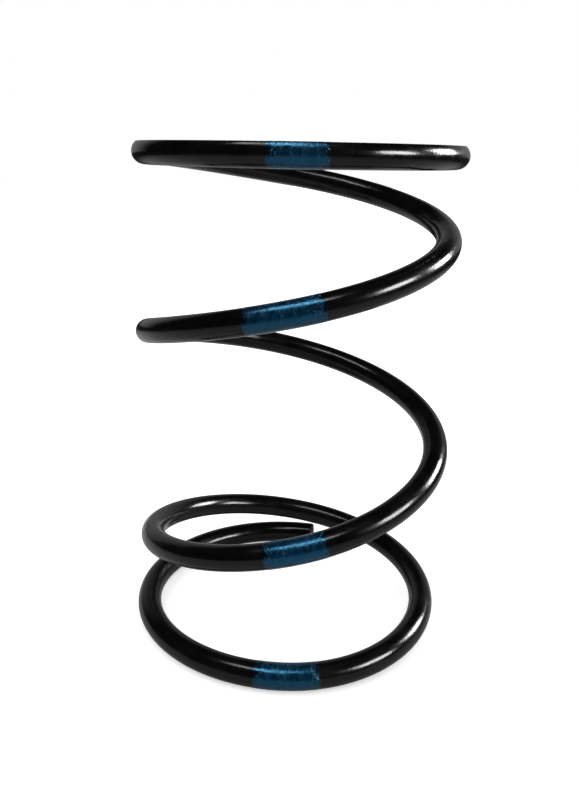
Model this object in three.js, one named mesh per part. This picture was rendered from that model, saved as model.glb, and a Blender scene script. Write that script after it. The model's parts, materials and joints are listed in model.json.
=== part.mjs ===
// Suspension coil spring: one round steel wire wound right-handed, its two end coils closed,
// drawn as lengths of wire that can turn on each other where the real wire twists.
// Millimetres, +Z up, the origin on the spring's axis at the face it stands on.
import * as THREE from 'three';

// Driving dimensions
const WIRE_DIAMETER = 12.5;
const COIL_RADIUS = 76;                // axis of the spring to the centre of the wire
const WIRE_RADIUS = WIRE_DIAMETER / 2;

// Angles run anticlockwise from +X, seen from above, and grow as the wire climbs.
const LOWER_TIP = 76;
const LOWER_LIFT_OFF = 405;            // below this the wire stays with the closed end coil
const UPPER_TOUCH_DOWN = 1245;         // above this it stays with the other one
const UPPER_TIP = 1515;
const LINK_ANGLE = 60;                 // the active wire is drawn in lengths this long

const QUARTER = 90;

// How far the wire has climbed at each quarter turn from the front of the lowest coil
const CLIMB_FROM = 270;
const CLIMB = [0, 6, 18, 39, 65.5, 96.5, 126, 151, 177, 205, 230, 242.5];

// How far it stands outside COIL_RADIUS at each quarter turn from the back of the lowest coil:
// the lower coils are a little out of round, and the tip curls in
const REACH_FROM = 90;
const REACH = [0, 1, -1, -2, -2, -1.5, -0.5, 0.5, 0, -0.5, 0, 0, 0, 0, 0, 1, 0];

const UPPER_GRIND = 1.5;               // ground off the top of the upper end coil

// Paint marks stand at the front of every coil
const MARK_MIDDLE = 270;
const MARK_ANGLE = 30;                 // length of wire that a mark covers

const SECTION_SIDES = 16;
const STEP_ANGLE = 6;
const JOINT_GAP = 0.5;                 // room for the cut faces to open and close as they turn

const radians = THREE.MathUtils.degToRad;
const coilTop = CLIMB[CLIMB.length - 1] + WIRE_DIAMETER - UPPER_GRIND;

// Reads a table of quarter turns at any angle: smooth in between, level at both ends
function between(table, fromAngle, angle) {
  const last = table.length - 1;
  const place = THREE.MathUtils.clamp((angle - fromAngle) / QUARTER, 0, last);
  const index = Math.min(Math.floor(place), last - 1);
  const slope = (i) => (i > 0 && i < last ? (table[i + 1] - table[i - 1]) / 2 : 0);
  const t = place - index;
  const step = t * t * (3 - 2 * t);
  const leaving = t * (1 - t) * (1 - t) * slope(index);
  const arriving = t * t * (t - 1) * slope(index + 1);
  return table[index] + (table[index + 1] - table[index]) * step + leaving + arriving;
}

function wireCentre(angle) {
  const turned = radians(angle);
  const radius = COIL_RADIUS + between(REACH, REACH_FROM, angle);
  const height = WIRE_RADIUS + between(CLIMB, CLIMB_FROM, angle);
  return new THREE.Vector3(radius * Math.cos(turned), radius * Math.sin(turned), height);
}

// A length of the wire's centre line, with one side of its section always facing away from the axis
class WirePath extends THREE.Curve {
  constructor(from, to) {
    super();
    this.from = from;
    this.to = to;
  }

  getPoint(t) {
    return wireCentre(THREE.MathUtils.lerp(this.from, this.to, t));
  }

  getPointAt(t) {
    return this.getPoint(t);
  }

  computeFrenetFrames(segments) {
    const tangents = [];
    const normals = [];
    const binormals = [];
    for (let i = 0; i <= segments; i++) {
      const angle = THREE.MathUtils.lerp(this.from, this.to, i / segments);
      const tangent = wireCentre(angle + 0.5).sub(wireCentre(angle - 0.5)).normalize();
      const outward = new THREE.Vector3(Math.cos(radians(angle)), Math.sin(radians(angle)), 0);
      const down = new THREE.Vector3().crossVectors(tangent, outward).normalize();
      tangents.push(tangent);
      binormals.push(down);
      normals.push(new THREE.Vector3().crossVectors(down, tangent));
    }
    return { tangents, normals, binormals };
  }
}

// The round section, turned so that a flat of it faces up and another down
function wireSection() {
  const section = new THREE.Shape();
  const reach = WIRE_RADIUS / Math.cos(Math.PI / SECTION_SIDES);
  for (let i = 0; i < SECTION_SIDES; i++) {
    const turned = ((i + 0.5) / SECTION_SIDES) * 2 * Math.PI;
    const move = i === 0 ? 'moveTo' : 'lineTo';
    section[move](reach * Math.cos(turned), reach * Math.sin(turned));
  }
  section.closePath();
  return section;
}

// Presses everything above a level down to it, which leaves the flat seat of a ground coil
function grindAbove(geometry, level) {
  const position = geometry.attributes.position;
  for (let i = 0; i < position.count; i++) {
    position.setZ(i, Math.min(position.getZ(i), level));
  }
}

function wireLength(name, from, to, material) {
  const steps = Math.max(1, Math.round((to - from) / STEP_ANGLE));
  const geometry = new THREE.ExtrudeGeometry(wireSection(), {
    steps,
    bevelEnabled: false,
    extrudePath: new WirePath(from, to),
  });
  grindAbove(geometry, coilTop);
  const mesh = new THREE.Mesh(geometry, material);
  mesh.name = name;
  return mesh;
}

const blackCoating = () => new THREE.MeshStandardMaterial({
  name: 'black_coating', color: 0x0b0b0c, roughness: 0.18, metalness: 0.0,
});
const blueMarkPaint = () => new THREE.MeshStandardMaterial({
  name: 'blue_mark_paint', color: 0x0f3c5c, roughness: 0.3, metalness: 0.0,
});

const spring = new THREE.Group();
const halfGap = THREE.MathUtils.radToDeg(JOINT_GAP / 2 / COIL_RADIUS);

// Lays wire from one angle to the next, clear of its neighbours by the joint gap
function lay(name, from, to, material) {
  const start = from === LOWER_TIP ? from : from + halfGap;
  const end = to === UPPER_TIP ? to : to - halfGap;
  spring.add(wireLength(name, start, end, material()));
}

// Whether a paint mark ends at this angle, which is where a length of wire ends too
function markEndsAt(angle) {
  return (angle - MARK_ANGLE / 2 - MARK_MIDDLE) % 360 === 0;
}

// Lower end coil, closed, with its paint mark
const lowerMark = MARK_MIDDLE - MARK_ANGLE / 2;
lay('lower_end_coil', LOWER_TIP, lowerMark, blackCoating);
lay('lower_end_mark', lowerMark, lowerMark + MARK_ANGLE, blueMarkPaint);
lay('lower_end_rise', lowerMark + MARK_ANGLE, LOWER_LIFT_OFF, blackCoating);

// Active coils
for (let from = LOWER_LIFT_OFF, i = 1; from < UPPER_TOUCH_DOWN; from += LINK_ANGLE, i++) {
  const number = String(i).padStart(2, '0');
  const to = from + LINK_ANGLE;
  const wireEnd = markEndsAt(to) ? to - MARK_ANGLE : to;
  lay(`active_wire_${number}`, from, wireEnd, blackCoating);
  if (wireEnd < to) {
    lay(`active_mark_${number}`, wireEnd, to, blueMarkPaint);
  }
}

// Upper end coil, closed and ground, with its paint mark
const upperMark = lowerMark + 3 * 360;
lay('upper_end_run', UPPER_TOUCH_DOWN, upperMark, blackCoating);
lay('upper_end_mark', upperMark, upperMark + MARK_ANGLE, blueMarkPaint);
lay('upper_end_coil', upperMark + MARK_ANGLE, UPPER_TIP, blackCoating);

export default spring;
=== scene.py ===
import json
import math

import bmesh
import bpy
from mathutils import Matrix, Vector


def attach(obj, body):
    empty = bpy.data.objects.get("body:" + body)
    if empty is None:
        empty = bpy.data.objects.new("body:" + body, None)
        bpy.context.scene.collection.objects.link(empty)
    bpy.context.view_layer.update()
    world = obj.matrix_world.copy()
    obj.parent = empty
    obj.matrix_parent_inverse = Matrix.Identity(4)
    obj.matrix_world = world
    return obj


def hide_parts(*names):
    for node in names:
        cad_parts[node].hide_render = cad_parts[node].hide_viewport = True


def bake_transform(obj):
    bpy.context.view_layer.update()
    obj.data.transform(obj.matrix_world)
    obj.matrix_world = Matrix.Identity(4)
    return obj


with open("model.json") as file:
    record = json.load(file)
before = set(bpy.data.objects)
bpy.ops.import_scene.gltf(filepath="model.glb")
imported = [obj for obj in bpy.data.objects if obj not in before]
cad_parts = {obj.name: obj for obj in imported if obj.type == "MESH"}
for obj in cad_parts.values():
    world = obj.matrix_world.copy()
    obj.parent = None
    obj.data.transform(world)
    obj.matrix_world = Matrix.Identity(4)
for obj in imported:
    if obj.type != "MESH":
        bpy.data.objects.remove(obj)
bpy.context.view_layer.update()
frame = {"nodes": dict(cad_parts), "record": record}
scene = bpy.context.scene
print("frame loaded,", len(frame["nodes"]), "nodes")


# Angles are in degrees, anticlockwise from +X seen from above, and grow as the wire climbs.
wire = {
    "radius": 0.00625,
    "coilRadius": 0.076,
    "lowerTip": 76.0,
    "upperTip": 1515.0,
    "quarter": 90.0,         # the two tables have a value at each quarter turn, in mm
    "climbFrom": 270.0,
    "climb": (0, 6, 18, 39, 65.5, 96.5, 126, 151, 177, 205, 230, 242.5),
    "reachFrom": 90.0,       # how far it stands outside coilRadius
    "reach": (0, 1, -1, -2, -2, -1.5, -0.5, 0.5, 0, -0.5, 0, 0, 0, 0, 0, 1, 0),
    "ground": 0.0015,
    "firstHinge": 405.0,
    "hingeAngle": 60.0,
    "hinges": 15,
    "sides": 80,
    "stepAngle": 1.0,
    "directionOver": 1.0,    # the wire's direction is taken over this much of it
    "arcStep": 0.5,
    "tipRounding": 0.0009,
    "tipSegments": 4,
    "sharpAngle": 32.0,
}
coilTop = wire["climb"][-1] / 1000 + 2 * wire["radius"] - wire["ground"]


def between(table, fromAngle, angle):
    # smooth in between, level at both ends
    last = len(table) - 1
    place = min(max((angle - fromAngle) / wire["quarter"], 0.0), last)
    index = min(int(place), last - 1)
    slopes = [(table[i + 1] - table[i - 1]) / 2 if 0 < i < last else 0.0 for i in (index, index + 1)]
    t = place - index
    step = t * t * (3 - 2 * t)
    leaving = t * (1 - t) ** 2 * slopes[0]
    arriving = t * t * (t - 1) * slopes[1]
    return (table[index] + (table[index + 1] - table[index]) * step + leaving + arriving) / 1000


def wireCentre(angle):
    turned = math.radians(angle)
    reach = wire["coilRadius"] + between(wire["reach"], wire["reachFrom"], angle)
    height = wire["radius"] + between(wire["climb"], wire["climbFrom"], angle)
    return Vector((reach * math.cos(turned), reach * math.sin(turned), height))


def wireFrame(angle):
    # local x points away from the spring's axis, local z along the wire
    half = wire["directionOver"] / 2
    along = (wireCentre(angle + half) - wireCentre(angle - half)).normalized()
    outward = Vector((math.cos(math.radians(angle)), math.sin(math.radians(angle)), 0))
    down = along.cross(outward).normalized()
    away = down.cross(along)
    turn = Matrix((away, down, along)).transposed().to_4x4()
    return Matrix.Translation(wireCentre(angle)) @ turn


arcTable = [0.0]
reached = wire["lowerTip"]
while reached < wire["upperTip"]:
    onward = reached + wire["arcStep"]
    arcTable.append(arcTable[-1] + (wireCentre(onward) - wireCentre(reached)).length)
    reached = onward


def arcAt(angle):
    # length of wire from the lower tip
    last = len(arcTable) - 1
    place = min(max((angle - wire["lowerTip"]) / wire["arcStep"], 0.0), last)
    index = min(int(place), last - 1)
    return arcTable[index] + (arcTable[index + 1] - arcTable[index]) * (place - index)


def placeRing(verts, layer, angle):
    # each point keeps its place in the section and how far along the wire it is
    home = wireFrame(angle).inverted()
    arc = arcAt(angle)
    for v in verts:
        local = home @ v.co
        v[layer] = Vector((local.x, local.y, arc + local.z))


def sweep(bm, stations, sides):
    # stations are (angle, radius); returns the first and last open loops
    layer = bm.verts.layers.float_vector.new("wireCoord")
    angle, radius = stations[0]
    made = bmesh.ops.create_circle(bm, segments=sides, radius=radius, matrix=wireFrame(angle))
    placeRing(made["verts"], layer, angle)
    first = list({e for v in made["verts"] for e in v.link_edges})
    edges = first
    for nextAngle, nextRadius in stations[1:]:
        grown = bmesh.ops.extrude_edge_only(bm, edges=edges)["geom"]
        verts = [g for g in grown if isinstance(g, bmesh.types.BMVert)]
        edges = [g for g in grown if isinstance(g, bmesh.types.BMEdge) and g.is_boundary]
        grow = Matrix.Diagonal((nextRadius / radius, nextRadius / radius, 1, 1))
        move = wireFrame(nextAngle) @ grow @ wireFrame(angle).inverted()
        bmesh.ops.transform(bm, matrix=move, verts=verts)
        placeRing(verts, layer, nextAngle)
        angle, radius = nextAngle, nextRadius
    return first, edges


def finishMesh(bm, name, material, sharpAngle=wire["sharpAngle"]):
    bmesh.ops.recalc_face_normals(bm, faces=bm.faces[:])
    for face in bm.faces:
        face.smooth = True
    mesh = bpy.data.meshes.new(name)
    bm.to_mesh(mesh)
    bm.free()
    mesh.set_sharp_from_angle(angle=math.radians(sharpAngle))
    mesh.materials.append(material)
    obj = bpy.data.objects.new(name, mesh)
    scene.collection.objects.link(obj)
    return obj


def spaced(start, end, step):
    count = max(1, round((end - start) / step))
    return [start + (end - start) * i / count for i in range(count + 1)]


class Nodes:
    # a short way to write the node tree of a material or a world
    def __init__(self, owner, outputKind="ShaderNodeOutputMaterial"):
        owner.use_nodes = True
        self.owner = owner
        self.tree = owner.node_tree
        self.tree.nodes.clear()
        self.output = self.add(outputKind)

    def add(self, kind, inputs=None, **settings):
        node = self.tree.nodes.new(kind)
        for key, value in settings.items():
            setattr(node, key, value)
        for key, value in (inputs or {}).items():
            self.feed(node.inputs[key], value)
        return node

    def feed(self, socket, value):
        if isinstance(value, bpy.types.NodeSocket):
            self.tree.links.new(value, socket)
        else:
            socket.default_value = value

    def finish(self, shader):
        self.feed(self.output.inputs["Surface"], shader.outputs[0])
        return self.owner

    def math(self, operation, a, b):
        return self.add("ShaderNodeMath", {0: a, 1: b}, operation=operation).outputs[0]

    def mixed(self, a, b, share):
        # a weighted sum of two values, share being how much of a
        return self.math("ADD", self.math("MULTIPLY", a, share), self.math("MULTIPLY", b, 1 - share))

    def wireCoord(self):
        return self.add("ShaderNodeAttribute", attribute_name="wireCoord").outputs["Vector"]

    def stretched(self, vector, across, along):
        scale = (across, across, along)
        return self.add("ShaderNodeMapping", {"Vector": vector, "Scale": scale}).outputs["Vector"]

    def noise(self, vector, grain):
        scale, detail, roughness = grain
        node = self.add("ShaderNodeTexNoise",
                        {"Vector": vector, "Scale": scale, "Detail": detail, "Roughness": roughness})
        return node.outputs["Fac"]

    def span(self, value, fromRange, toRange=(0.0, 1.0)):
        node = self.add("ShaderNodeMapRange",
                        {"Value": value, "From Min": fromRange[0], "From Max": fromRange[1],
                         "To Min": toRange[0], "To Max": toRange[1]},
                        interpolation_type="SMOOTHSTEP", clamp=True)
        return node.outputs["Result"]

    def blend(self, factor, a, b):
        node = self.add("ShaderNodeMix", data_type="RGBA")
        self.feed(node.inputs["Factor"], factor)
        self.feed(node.inputs[6], a)
        self.feed(node.inputs[7], b)
        return node.outputs[2]

    def bump(self, height, relief, normal=None):
        strength, distance = relief
        node = self.add("ShaderNodeBump", {"Height": height, "Strength": strength, "Distance": distance})
        if normal is not None:
            self.feed(node.inputs["Normal"], normal)
        return node.outputs["Normal"]


coating = {
    "black": (0.0018, 0.0018, 0.0020, 1),
    "greyer": (0.0038, 0.0038, 0.0042, 1),
    "greyerFrom": (0.35, 0.75),
    "speck": (0.22, 0.22, 0.21, 1),
    "roughness": (0.15, 0.24),
    "roughFrom": (0.35, 0.68),
    "cloudShare": 0.6,       # cloudiness against drawing marks in the roughness
    "specular": 0.24,
    # grains: scale, detail, roughness
    "clouds": (90.0, 4.0, 0.6),
    "drawnMarks": (900.0, 3.0, 0.6),
    "drawnLong": 0.12,
    "peel": (620.0, 2.0, 0.5),
    "grain": (3800.0, 2.0, 0.5),
    "waves": (130.0, 1.0, 0.4),
    "wavesLong": 0.35,
    # reliefs: strength, height in metres
    "waveRelief": (0.35, 0.0010),
    "peelRelief": (0.16, 0.00025),
    "grainRelief": (0.08, 0.00005),
    "speckRelief": (0.5, 0.0002),
    "speckScale": 210.0,
    "speckRarity": (0.972, 0.976),
    "speckSize": (0.085, 0.045),
    "speckRoughness": 0.5,
    "tipDulled": (0.0, 0.0004),     # the cut face at the lower tip is duller than the coat
    "tipRoughness": (0.7, 0.0),
}


def coatingLook(n, coord):
    # colour, roughness and normal of the gloss black coat
    clouds = n.noise(coord, coating["clouds"])
    drawnMarks = n.noise(n.stretched(coord, 1, coating["drawnLong"]), coating["drawnMarks"])
    peel = n.noise(coord, coating["peel"])
    grain = n.noise(coord, coating["grain"])
    waves = n.noise(n.stretched(coord, 1, coating["wavesLong"]), coating["waves"])
    dots = n.add("ShaderNodeTexVoronoi",
                 {"Vector": coord, "Scale": coating["speckScale"], "Randomness": 1.0})
    picked = n.add("ShaderNodeSeparateColor", {"Color": dots.outputs["Color"]}).outputs[0]
    rare = n.span(picked, coating["speckRarity"])
    small = n.span(dots.outputs["Distance"], coating["speckSize"])
    speck = n.math("MULTIPLY", rare, small)
    colour = n.blend(n.span(clouds, coating["greyerFrom"]), coating["black"], coating["greyer"])
    colour = n.blend(speck, colour, coating["speck"])
    rough = n.span(n.mixed(clouds, drawnMarks, coating["cloudShare"]),
                   coating["roughFrom"], coating["roughness"])
    rough = n.math("ADD", rough, n.math("MULTIPLY", speck, coating["speckRoughness"]))
    along = n.add("ShaderNodeSeparateXYZ", {"Vector": coord}).outputs["Z"]
    rough = n.math("ADD", rough, n.span(along, coating["tipDulled"], coating["tipRoughness"]))
    normal = n.bump(waves, coating["waveRelief"])
    normal = n.bump(peel, coating["peelRelief"], normal)
    normal = n.bump(grain, coating["grainRelief"], normal)
    normal = n.bump(speck, coating["speckRelief"], normal)
    return colour, rough, normal


def makeBlackCoating():
    n = Nodes(bpy.data.materials.new("blackCoating"))
    colour, rough, normal = coatingLook(n, n.wireCoord())
    shader = n.add("ShaderNodeBsdfPrincipled",
                   {"Base Color": colour, "Roughness": rough, "Normal": normal,
                    "Specular IOR Level": coating["specular"]})
    return n.finish(shader)


paint = {
    "blue": (0.0005, 0.018, 0.043, 1),
    "deep": (0.0002, 0.009, 0.022, 1),
    "deepFrom": (0.36, 0.56),
    "worn": (0.003, 0.040, 0.090, 1),
    "wornFrom": (0.5, 0.72),
    "wornShare": 0.6,
    "sheen": (0.14, 0.58, 1.0, 1),
    "specular": 1.0,
    "roughness": (0.15, 0.34),
    "roughFrom": (0.3, 0.7),
    # how far the brush leaves the edge ragged: fingers along the wire, with finer crumbs on them
    "fingers": (420.0, 3.0, 0.6),
    "fingersLong": 0.22,
    "fingerReach": 0.00594,
    "crumbs": (1500.0, 3.0, 0.65),
    "crumbReach": 0.00297,
    "edgeSoftness": (-0.00012, 0.00016),
    # the brush went across the wire; thin dark gaps are left, more of them near the ends
    "bristles": (620.0, 4.0, 0.65),
    "bristlesRound": 0.4,
    "drawnMarks": (900.0, 3.0, 0.6),
    "drawnLong": 0.2,
    "patches": (260.0, 2.0, 0.5),
    "gapShare": 0.62,
    "gapNear": (-0.001, 0.006),
    "gapFrom": (0.50, 0.64),
    "gapSoftness": (-0.012, 0.012),
    "edgeRelief": (0.5, 0.00012),
    "strokeRelief": (0.6, 0.00030),
    "thickness": 0.00007,
    "buried": 0.00012,
    "clear": 0.00001,
    "overlap": 0.0013,       # the layer runs on past the paint, too thin to see
    "taper": 0.0009,
    "sides": 80,
    "stepAngle": 0.5,
    "sharpAngle": 60.0,
}


def makeBluePaint():
    n = Nodes(bpy.data.materials.new("blueMarkPaint"))
    coord = n.wireCoord()
    black, blackRough, blackNormal = coatingLook(n, coord)
    edge = n.add("ShaderNodeAttribute", attribute_name="inFromEdge").outputs["Fac"]
    fingers = n.noise(n.stretched(coord, 1, paint["fingersLong"]), paint["fingers"])
    crumbs = n.noise(coord, paint["crumbs"])
    ragged = n.math("ADD",
                    n.math("MULTIPLY", n.math("SUBTRACT", fingers, 0.5), paint["fingerReach"]),
                    n.math("MULTIPLY", n.math("SUBTRACT", crumbs, 0.5), paint["crumbReach"]))
    covered = n.span(n.math("ADD", edge, ragged), paint["edgeSoftness"])
    bristles = n.noise(n.stretched(coord, paint["bristlesRound"], 1), paint["bristles"])
    drawnMarks = n.noise(n.stretched(coord, 1, paint["drawnLong"]), paint["drawnMarks"])
    patches = n.noise(coord, paint["patches"])
    gapFrom = n.span(edge, paint["gapNear"], paint["gapFrom"])
    gapField = n.mixed(bristles, patches, paint["gapShare"])
    gap = n.span(n.math("SUBTRACT", gapField, gapFrom), paint["gapSoftness"])
    covered = n.math("MULTIPLY", covered, n.math("SUBTRACT", 1.0, gap))
    thick = n.span(n.mixed(patches, bristles, 0.5), paint["deepFrom"])
    tone = n.blend(thick, paint["deep"], paint["blue"])
    worn = n.math("MULTIPLY", n.span(bristles, paint["wornFrom"]), paint["wornShare"])
    colour = n.blend(covered, black, n.blend(worn, tone, paint["worn"]))
    paintRough = n.span(bristles, paint["roughFrom"], paint["roughness"])
    rough = n.add("ShaderNodeMix", {"Factor": covered, 2: blackRough, 3: paintRough}).outputs[0]
    normal = n.bump(covered, paint["edgeRelief"], blackNormal)
    strokes = n.math("MULTIPLY", n.mixed(bristles, drawnMarks, 0.5), covered)
    normal = n.bump(strokes, paint["strokeRelief"], normal)
    shader = n.add("ShaderNodeBsdfPrincipled",
                   {"Base Color": colour, "Roughness": rough, "Normal": normal,
                    "Specular IOR Level": paint["specular"], "Specular Tint": paint["sheen"]})
    return n.finish(shader)


blackCoating = makeBlackCoating()
bluePaint = makeBluePaint()
print("materials made")


def grindFlat(bm):
    # the top of the upper coil is ground level
    for v in bm.verts:
        v.co.z = min(v.co.z, coilTop)


def layWire(name, start, end, roundStart=False, roundEnd=False):
    bm = bmesh.new()
    stations = [(angle, wire["radius"]) for angle in spaced(start, end, wire["stepAngle"])]
    first, last = sweep(bm, stations, wire["sides"])
    bmesh.ops.contextual_create(bm, geom=first)
    bmesh.ops.contextual_create(bm, geom=last)
    rims = (first if roundStart else []) + (last if roundEnd else [])
    if rims:
        bmesh.ops.bevel(bm, geom=rims, offset=wire["tipRounding"], segments=wire["tipSegments"],
                        profile=0.5, affect="EDGES", material=-1, clamp_overlap=True)
    grindFlat(bm)
    return finishMesh(bm, name, blackCoating)


hingeAngles = [wire["firstHinge"] + i * wire["hingeAngle"] for i in range(wire["hinges"])]
bodyNames = ["lower_end"] + [f"active_{i:02d}" for i in range(1, wire["hinges"])] + ["upper_end"]
halfLink = wire["hingeAngle"] / 2


def carry(obj):
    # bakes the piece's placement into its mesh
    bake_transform(obj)


lowerEnd = layWire("wireLowerEnd", wire["lowerTip"], hingeAngles[0] - halfLink, roundStart=True)
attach(lowerEnd, "lower_end")
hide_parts("lower_end_coil", "lower_end_mark", "lower_end_rise")

upperEnd = layWire("wireUpperEnd", hingeAngles[-1] + halfLink, wire["upperTip"], roundEnd=True)
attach(upperEnd, "upper_end")
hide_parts("upper_end_run", "upper_end_mark", "upper_end_coil")

nodesOf = frame["record"]["behaviour"]["bodies"]
for hinge, middle in enumerate(hingeAngles):
    length = layWire(f"wireActive{hinge + 1:02d}", middle - halfLink, middle + halfLink)
    carry(length)
    if hinge + 1 < wire["hinges"]:
        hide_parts(*nodesOf[bodyNames[hinge + 1]])
print("wire laid in", wire["hinges"] + 2, "lengths")


paintMarks = [
    {"name": "paintMarkLowest", "from": 258.0, "to": 279.0},
    {"name": "paintMarkSecond", "from": 621.0, "to": 640.0, "hinge": 4},
    {"name": "paintMarkThird", "from": 973.0, "to": 996.5, "hinge": 10},
    {"name": "paintMarkHighest", "from": 1339.5, "to": 1356.0},
]


def layPaint(mark):
    perDegree = (arcAt(mark["to"]) - arcAt(mark["from"])) / (mark["to"] - mark["from"])
    start = mark["from"] - paint["overlap"] / perDegree
    end = mark["to"] + paint["overlap"] / perDegree
    angles = spaced(start, end, paint["stepAngle"])
    outside = []
    for angle in angles:
        inFrom = min(angle - start, end - angle) * perDegree
        swell = min(1.0, inFrom / paint["taper"])
        swell = swell * swell * (3 - 2 * swell)
        outside.append((angle, wire["radius"] + paint["clear"] + paint["thickness"] * swell))
    inside = [(angle, wire["radius"] - paint["buried"]) for angle in reversed(angles)]
    bm = bmesh.new()
    first, last = sweep(bm, outside + inside, paint["sides"])
    bmesh.ops.bridge_loops(bm, edges=first + last)
    layer = bm.verts.layers.float_vector["wireCoord"]
    edgeLayer = bm.verts.layers.float.new("inFromEdge")
    startArc, endArc = arcAt(mark["from"]), arcAt(mark["to"])
    for v in bm.verts:
        v[edgeLayer] = min(v[layer].z - startArc, endArc - v[layer].z)
    for v in bm.verts:
        isOutside = v[layer].xy.length > wire["radius"]
        proud = paint["thickness"] if isOutside else -paint["buried"]
        v.co.z = min(v.co.z, coilTop + proud)
    return finishMesh(bm, mark["name"], bluePaint, paint["sharpAngle"])


for mark in paintMarks:
    coat = layPaint(mark)
    if "hinge" in mark:
        carry(coat)
    else:
        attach(coat, "lower_end" if mark["to"] < wire["firstHinge"] else "upper_end")
print("paint marks brushed on")


studio = {
    "floorSize": 12.0,
    "floorCells": 4,
    "floorDrop": 0.0002,
    "floorColour": (0.93, 0.93, 0.93, 1),
    "floorPaler": (0.95, 0.95, 0.95, 1),
    "floorMottle": (9.0, 3.0, 0.5),
    "mottleFrom": (0.3, 0.7),
    "floorLift": 0.52,       # evens out the shadows the camera sees
    "litWithin": (0.35, 1.1),       # the lit part of the floor fades in the gloss
    "litShare": (0.62, 0.02),
    "black": (0, 0, 0, 1),
    "lampDistance": 1.3,
    "lampAim": (0, 0, 0.12),
    "white": (1.0, 1.0, 1.0, 1),
    "ambient": (1.12, 1.12, 1.12, 1),
    "wall": (0.34, 0.34, 0.34, 1),
    "wallBehind": (0.50, 0.78),
    "wallBelow": (0.62, 0.42),
    "dark": (0.006, 0.006, 0.006, 1),
}

lamps = [
    # azimuth from +X towards +Y and elevation in degrees, width and height in metres, watts
    {"name": "softboxRight", "azimuth": 17, "elevation": 22, "width": 0.42, "height": 0.42, "watts": 29},
    {"name": "softboxFront", "azimuth": -27, "elevation": 21, "width": 0.58, "height": 0.36, "watts": 26},
    {"name": "softboxTop", "azimuth": -120, "elevation": 68, "width": 0.8, "height": 0.22, "watts": 7},
]


def makeFloor():
    n = Nodes(bpy.data.materials.new("paleFloor"))
    coord = n.add("ShaderNodeTexCoord").outputs["Object"]
    pale = studio["floorColour"]
    mottled = n.span(n.noise(coord, studio["floorMottle"]), studio["mottleFrom"])
    plain = n.add("ShaderNodeBsdfDiffuse", {"Color": n.blend(mottled, pale, studio["floorPaler"])})
    lift = n.add("ShaderNodeEmission", {"Color": pale, "Strength": studio["floorLift"]})
    seen = n.add("ShaderNodeAddShader", {0: plain.outputs[0], 1: lift.outputs[0]})
    far = n.add("ShaderNodeVectorMath", {0: coord}, operation="LENGTH").outputs["Value"]
    fade = n.span(far, studio["litWithin"], studio["litShare"])
    mirrored = n.add("ShaderNodeBsdfDiffuse", {"Color": n.blend(fade, studio["black"], pale)})
    isSeen = n.add("ShaderNodeLightPath").outputs["Is Camera Ray"]
    pick = n.add("ShaderNodeMixShader", {0: isSeen, 1: mirrored.outputs[0], 2: seen.outputs[0]})
    bm = bmesh.new()
    drop = Matrix.Translation((0, 0, -studio["floorDrop"]))
    bmesh.ops.create_grid(bm, x_segments=studio["floorCells"], y_segments=studio["floorCells"],
                          size=studio["floorSize"] / 2, matrix=drop)
    floor = finishMesh(bm, "studioFloor", n.finish(pick))


def makeLamp(lamp):
    data = bpy.data.lights.new(lamp["name"], "AREA")
    data.shape = "RECTANGLE"
    data.size = lamp["width"]
    data.size_y = lamp["height"]
    data.energy = lamp["watts"]
    obj = bpy.data.objects.new(lamp["name"], data)
    azimuth, elevation = math.radians(lamp["azimuth"]), math.radians(lamp["elevation"])
    towards = Vector((math.cos(elevation) * math.cos(azimuth),
                      math.cos(elevation) * math.sin(azimuth), math.sin(elevation)))
    obj.location = Vector(studio["lampAim"]) + towards * studio["lampDistance"]
    obj.rotation_euler = towards.to_track_quat("Z", "Y").to_euler()
    obj.visible_camera = False
    obj.visible_diffuse = False
    scene.collection.objects.link(obj)


def makeSky():
    # white for the camera, even light on the floor; in the gloss, a low pale wall behind a dark room
    n = Nodes(bpy.data.worlds.new("studioSky"), "ShaderNodeOutputWorld")
    coord = n.add("ShaderNodeTexCoord").outputs["Generated"]
    axes = n.add("ShaderNodeSeparateXYZ", {"Vector": coord}).outputs
    behind = n.span(axes["Y"], studio["wallBehind"])
    below = n.span(axes["Z"], studio["wallBelow"])
    gloss = n.blend(n.math("MULTIPLY", behind, below), studio["dark"], studio["wall"])
    ray = n.add("ShaderNodeLightPath").outputs
    lit = n.blend(ray["Is Diffuse Ray"], gloss, studio["ambient"])
    colour = n.blend(ray["Is Camera Ray"], lit, studio["white"])
    scene.world = n.finish(n.add("ShaderNodeBackground", {"Color": colour}))


view = {
    "place": (-0.01494, -0.40973, 0.24877),
    "pitch": 13.369,
    "roll": 1.031,
    "lens": 36.054,
    "sensor": 36.0,
    "shift": (0.0306, -0.0708),
    "nearest": 0.01,
}


def makeCamera():
    data = bpy.data.cameras.new("viewCamera")
    data.lens = view["lens"]
    data.sensor_width = view["sensor"]
    data.shift_x, data.shift_y = view["shift"]
    data.clip_start = view["nearest"]
    camera = bpy.data.objects.new("viewCamera", data)
    scene.collection.objects.link(camera)
    lean = Matrix.Rotation(math.radians(90 - view["pitch"]), 4, "X")
    roll = Matrix.Rotation(math.radians(view["roll"]), 4, "Z")
    camera.matrix_world = Matrix.Translation(view["place"]) @ lean @ roll
    scene.camera = camera


makeFloor()
for lamp in lamps:
    makeLamp(lamp)
makeSky()
makeCamera()
scene.view_settings.view_transform = "Standard"
print("studio set up")
